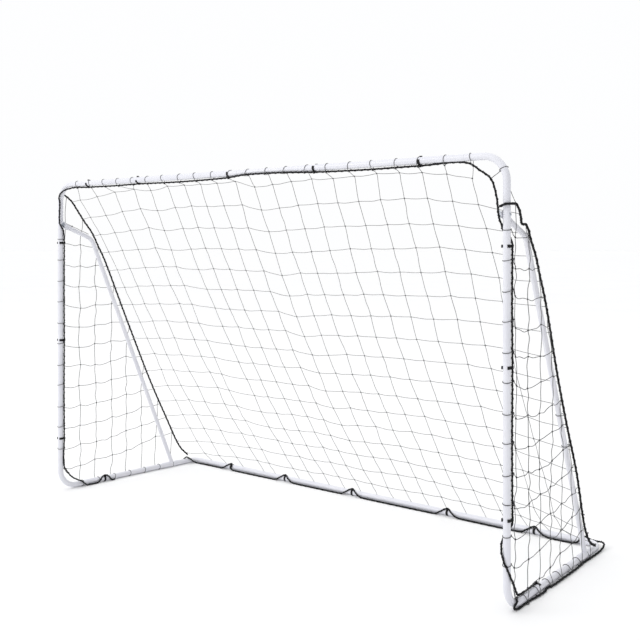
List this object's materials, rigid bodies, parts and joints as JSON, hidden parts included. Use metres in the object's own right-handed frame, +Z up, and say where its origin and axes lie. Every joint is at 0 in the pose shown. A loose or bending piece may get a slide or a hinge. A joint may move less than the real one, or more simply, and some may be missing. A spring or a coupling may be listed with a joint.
{
  "type": "soccer goal frame",
  "caption": "Portable soccer goal: plugged white steel tube frame with bent braces, spring buttons, clips, black border rope and a knotted net.",
  "frame": {"origin": "on the ground, at the middle of the goal's box seen from above", "axes": "+X along the crossbar to the right of someone who faces the mouth, +Y from the mouth to the back, +Z up"},
  "size_m": [2.4554, 0.8826, 1.4969],
  "materials": {
    "white_coat": "satin white powder coat on steel tube",
    "zinc": "bright zinc plating",
    "button_steel": "dull zinc plating",
    "spring_steel": "blued spring steel",
    "clip_plastic": "moulded nylon",
    "border_rope": "twisted polyester rope",
    "net_twine": "twisted polyethylene twine"
  },
  "bodies": {
    "root": {"crossbar_left": "white_coat", "crossbar_right": "white_coat", "top_corner_left": "white_coat", "top_corner_right": "white_coat", "post_left": "white_coat", "post_right": "white_coat", "bottom_corner_left": "white_coat", "bottom_corner_right": "white_coat", "side_rail_left": "white_coat", "side_rail_right": "white_coat", "brace_tee_left": "white_coat", "brace_tee_right": "white_coat", "brace_left": "white_coat", "brace_right": "white_coat", "rear_corner_left": "white_coat", "rear_corner_right": "white_coat", "rear_bar_left": "white_coat", "rear_bar_right": "white_coat", "corner_bolt_left": "zinc", "corner_bolt_right": "zinc", "bolt_washers": "zinc", "wing_nut_left": "zinc", "wing_nut_right": "zinc", "button_spring_roots": "spring_steel", "crossbar_clips": "clip_plastic", "post_clips_left": "clip_plastic", "post_clips_right": "clip_plastic", "rear_bar_clips": "clip_plastic", "rail_clips": "clip_plastic", "mouth_rope": "border_rope", "ground_rope": "border_rope", "seam_rope_left": "border_rope", "seam_rope_right": "border_rope", "net_back": "net_twine", "net_left": "net_twine", "net_right": "net_twine"},
    "tee_button_left": {"tee_button_left": "button_steel"},
    "tee_button_right": {"tee_button_right": "button_steel"},
    "crossbar_button": {"crossbar_button": "button_steel"},
    "rear_bar_button": {"rear_bar_button": "button_steel"}
  },
  "joints": [
    {"name": "tee_button_press_left", "type": "hinge", "parent": "root", "child": "tee_button_left", "pos_m": [-1.17883, 0.27758, 0.0142], "axis": [0, 0, -1], "range_deg": [0, 8.6], "stiffness_Nm_per_rad": 1.5, "springref_deg": -3.44},
    {"name": "tee_button_press_right", "type": "hinge", "parent": "root", "child": "tee_button_right", "pos_m": [1.17883, 0.27758, 0.0142], "axis": [0, 0, 1], "range_deg": [0, 8.6], "stiffness_Nm_per_rad": 1.5, "springref_deg": -3.44},
    {"name": "crossbar_button_press", "type": "hinge", "parent": "root", "child": "crossbar_button", "pos_m": [-0.008, -0.40639, 1.479], "axis": [0, 0, 1], "range_deg": [0, 8.6], "stiffness_Nm_per_rad": 1.5, "springref_deg": -3.44},
    {"name": "rear_bar_button_press", "type": "hinge", "parent": "root", "child": "rear_bar_button", "pos_m": [-0.008, 0.42561, 0.0142], "axis": [0, 0, 1], "range_deg": [0, 8.6], "stiffness_Nm_per_rad": 1.5, "springref_deg": -3.44}
  ]
}
